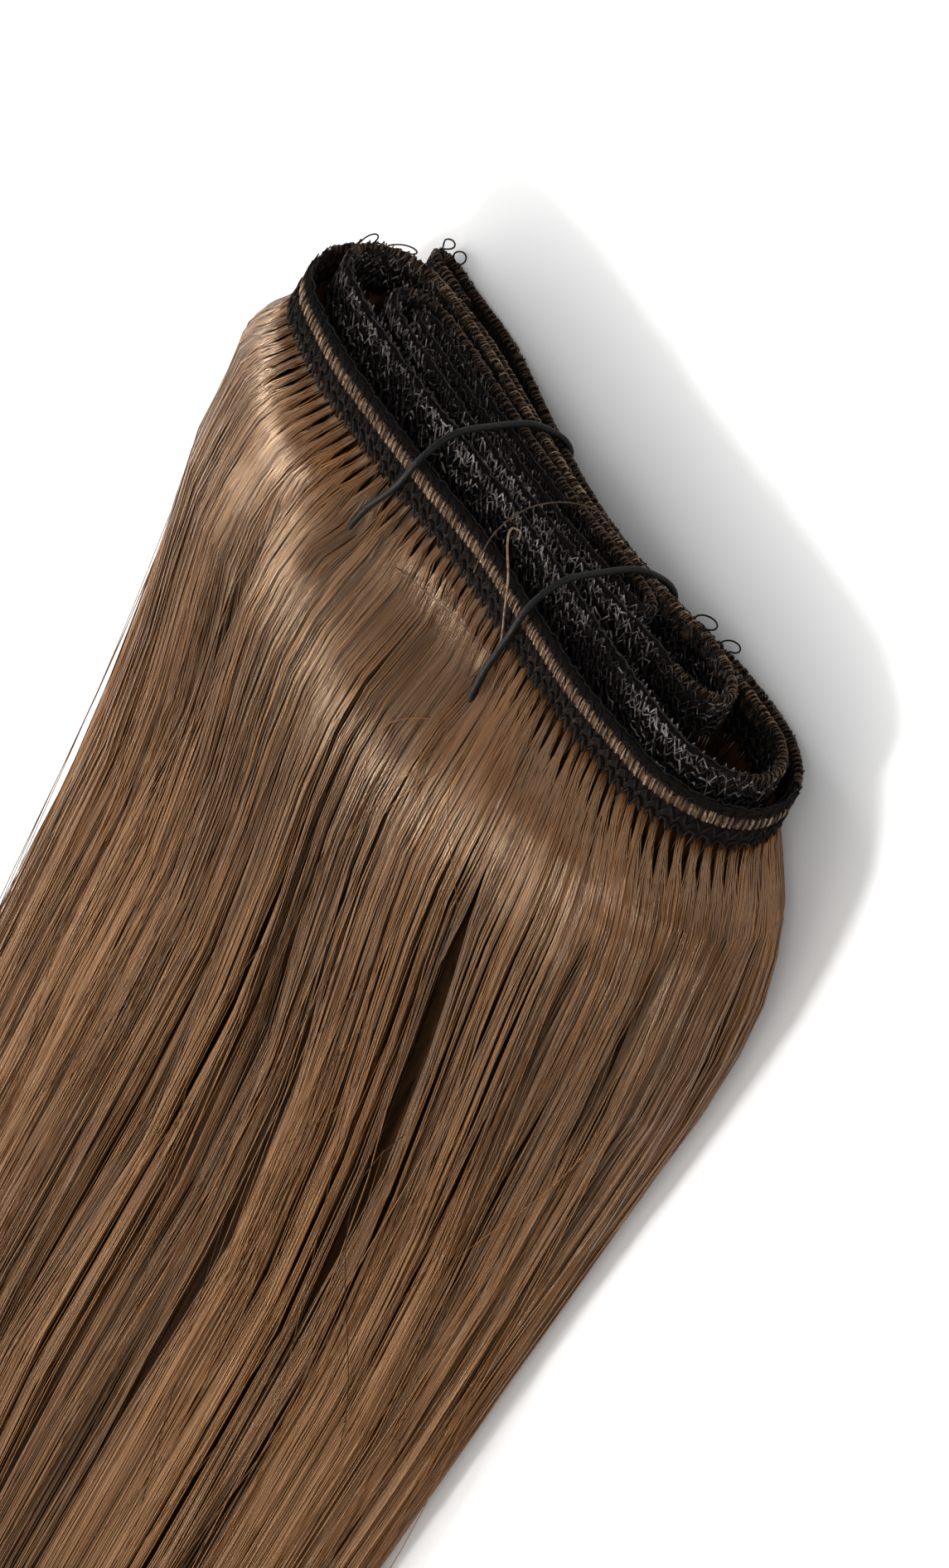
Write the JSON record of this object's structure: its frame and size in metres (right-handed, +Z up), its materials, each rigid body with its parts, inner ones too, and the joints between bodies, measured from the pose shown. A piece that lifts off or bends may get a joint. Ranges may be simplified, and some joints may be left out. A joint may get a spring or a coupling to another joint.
{
  "type": "machine weft hair extension",
  "caption": "Straight brown machine weft hair extension lying flat, its sewn strip wound into an oval roll held by elastic ties, its hair in locks behind it.",
  "frame": {"origin": "on the surface it lies on, under the middle of the whole object's box", "axes": "+X along the wound roll, +Y from the hair's tips towards the weft's sewn edge, +Z up"},
  "size_m": [0.1178, 0.412, 0.0317],
  "materials": {
    "weft": "dark sewn hair band with dull thread",
    "hair": "glossy brown hair strands",
    "elastic": "satin black elastic"
  },
  "bodies": {
    "root": {"weft_track": "weft", "hair_fall": "hair", "tie_left": "elastic", "tie_right": "elastic"}
  },
  "joints": []
}
